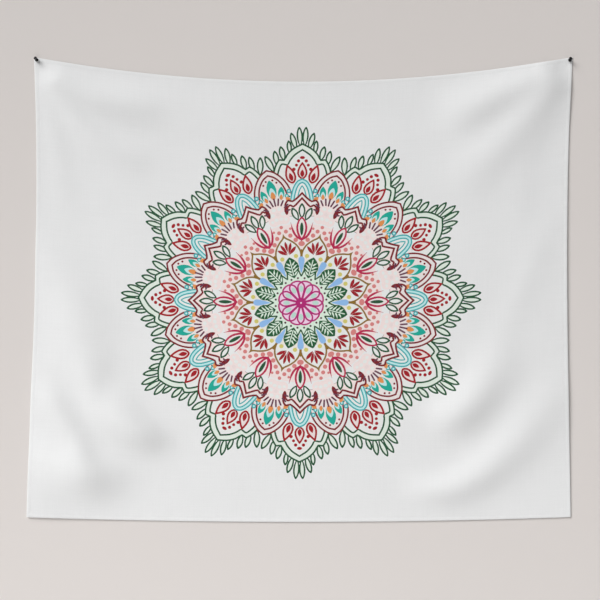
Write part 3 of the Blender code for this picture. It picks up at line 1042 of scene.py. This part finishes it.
def head_profile():
    """The head, from its dished face down to its needle's socket in the flange."""
    dish = HEAD_LENGTH - DISH_DEPTH
    neck_middle = (GRIP_LOW + FLANGE_TOP) / 2
    neck = []
    for k in range(NECK_STEPS + 1):
        u = 1 - 2 * k / NECK_STEPS
        neck.append((WAIST_RADIUS + WAIST_FLARE * abs(u) ** 3, neck_middle + NECK_HALF * u))
    return (
        [(0, dish), (DISH_FLOOR, dish), (DISH_RIM, HEAD_LENGTH)]
        + rounded_disc(GRIP_RADIUS, GRIP_LOW, HEAD_LENGTH, GRIP_ROUND)
        + neck
        + rounded_disc(FLANGE_RADIUS, 0, FLANGE_TOP, FLANGE_ROUND)
        + [(SOCKET_MOUTH, 0), (SOCKET_FLOOR, SOCKET_DEPTH), (0, SOCKET_DEPTH)]
    )


def build_pin(label, plastic, steel):
    """A push-pin's head and needle, on the axis of its mount."""
    mount = next(m for m in frame["record"]["mounts"] if m["name"] == f"{label}_pin_face")
    axis = Vector(mount["axis"]).normalized()
    base = Vector(mount["pos_m"]) - axis * HEAD_LENGTH
    layers_middle = -(HEM_FRONT + CLOTH_FRONT - CAD_THICKNESS) / 2
    tip = -abs((layers_middle - base.y) / axis.y) - NEEDLE_REACH
    in_head = SOCKET_DEPTH * 0.9
    shank = [(0, in_head), (NEEDLE_RADIUS, in_head)]
    point = [(radius, tip + height) for radius, height in NEEDLE_POINT]
    head = lathe(f"{label}_pin_grip", head_profile(), 64, base, axis, plastic)
    needle = lathe(f"{label}_pin_point", shank + point, 32, base, axis, steel)
    return head, needle


# ---- room, light, camera
def wall_material():
    """Pale matt paint that is clear from behind, so that the cloth's back can be seen."""
    made = Surface("pale_wall")
    made.look({"Base Color": (0.738, 0.694, 0.668, 1), "Roughness": 0.9})
    side = made.add("ShaderNodeNewGeometry", {}).outputs["Backfacing"]
    clear = made.add("ShaderNodeBsdfTransparent", {}).outputs[0]
    mix = made.add("ShaderNodeMixShader", {0: side, 1: made.shader.outputs[0], 2: clear})
    made.fill(made.tree.nodes["Material Output"], {"Surface": mix.outputs[0]})
    return made.material


def floor_material():
    """Pale matt floor."""
    made = Surface("pale_floor")
    made.look({"Base Color": (0.66, 0.65, 0.64, 1), "Roughness": 0.85})
    return made.material


def build_stage():
    """A pale wall that shows from the front only, and a pale floor."""
    half, low, high, near = ROOM_HALF, FLOOR_Z, WALL_TOP, FLOOR_REACH
    wall_corners = [(-half, 0, low), (half, 0, low), (half, 0, high), (-half, 0, high)]
    floor_corners = [(-half, -near, low), (half, -near, low), (half, near, low), (-half, near, low)]
    wall = new_piece("wall", wall_corners, [(0, 1, 2, 3)], [wall_material()])
    wall.visible_diffuse = False
    wall.visible_glossy = False
    wall.visible_transmission = False
    wall.visible_shadow = False
    floor = new_piece("floor", floor_corners, [(0, 1, 2, 3)], [floor_material()])


def area_light(name, place, target, size, power):
    """A square lamp that points from its place to a target."""
    lamp = bpy.data.lights.new(name, "AREA")
    lamp.shape = "SQUARE"
    lamp.size = size
    lamp.energy = power
    item = link_object(name, lamp)
    item.location = place
    item.rotation_euler = (Vector(target) - Vector(place)).to_track_quat("-Z", "Y").to_euler()


def build_light():
    """A broad key light from the upper left, a low fill, a lamp behind the wall, and a pale world."""
    sun = bpy.data.lights.new("key", "SUN")
    sun.energy = 3.05
    sun.angle = math.radians(38)
    key_way = Vector((0.57, 0.52, -0.63))
    link_object("key", sun).rotation_euler = key_way.to_track_quat("-Z", "Y").to_euler()
    area_light("low_fill", (-0.9, -1.7, -1.9), (0, 0, -1), size=1.2, power=12)
    area_light("behind", (1, 3.5, 0.6), (0, 0, -0.65), size=3, power=60)
    world = bpy.data.worlds.new("studio")
    bpy.context.scene.world = world
    world.use_nodes = True
    sky = world.node_tree.nodes["Background"]
    sky.inputs["Color"].default_value = (0.98, 0.98, 1, 1)
    sky.inputs["Strength"].default_value = 0.16
    bpy.context.scene.view_settings.view_transform = "Standard"


def build_camera():
    """Straight on to the wall, far enough back for a nearly flat view."""
    camera = bpy.data.cameras.new("camera")
    camera.lens = LENS
    camera.sensor_width = SENSOR_WIDTH
    item = link_object("camera", camera)
    item.location = (VIEW_X, -VIEW_WIDTH * LENS / SENSOR_WIDTH, VIEW_Z)
    item.rotation_euler = (math.pi / 2, 0, 0)
    bpy.context.scene.camera = item


# ---- put together
def across_lift(piece):
    """Bakes the piece's place into its mesh."""
    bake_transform(piece)


def dress_cloth():
    """The printed sheet in its place."""
    inks = [woven(name, colour) for name, colour in INKS.items()]
    back = woven("cloth_back", (0.82, 0.83, 0.83), gap_shade_depth=0.12)
    cloth = build_cloth(inks + [back])
    across_lift(cloth)
    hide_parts("cloth_upper", "cloth_lower")
    return cloth


def dress_trims():
    """All hems and threads in their places."""
    hem_cloth = woven("hem_cloth", (0.84, 0.85, 0.85), gap_shade_depth=0.12)
    thread = woven("sewing_thread", (0.8, 0.81, 0.81), roughness=0.6, gap_shade_depth=0.05, sheen=0.4)
    trims = []
    for side in ("top", "bottom", "left", "right"):
        made = [(build_hem(side, hem_cloth), "hem", "hem")]
        for kind in ("needle", "bobbin"):
            made.append((build_stitches(side, kind, thread), f"{kind}_thread", "thread"))
        for piece, node, slot in made:
            trims.append(piece)
            if side in LEVEL_SIDES:
                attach(piece, "pinned_cloth" if side == "top" else "hanging_cloth")
                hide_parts(f"{side}_{node}")
            else:
                across_lift(piece)
                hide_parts(f"{side}_{node}_upper", f"{side}_{node}_lower")
    return trims


def dress_pins():
    """Both push-pins in their places."""
    plastic, steel = moulded_plastic(), drawn_steel()
    for label in ("left", "right"):
        head, needle = build_pin(label, plastic, steel)
        for piece, node, slot in ((head, "head", "pin_plastic"), (needle, "needle", "pin_steel")):
            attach(piece, f"{label}_pin")
            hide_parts(f"{label}_pin_{node}")


def main():
    """The tapestry on its stage."""
    cloth = dress_cloth()
    trims = dress_trims()
    dress_pins()
    build_stage()
    build_light()
    build_camera()


main()
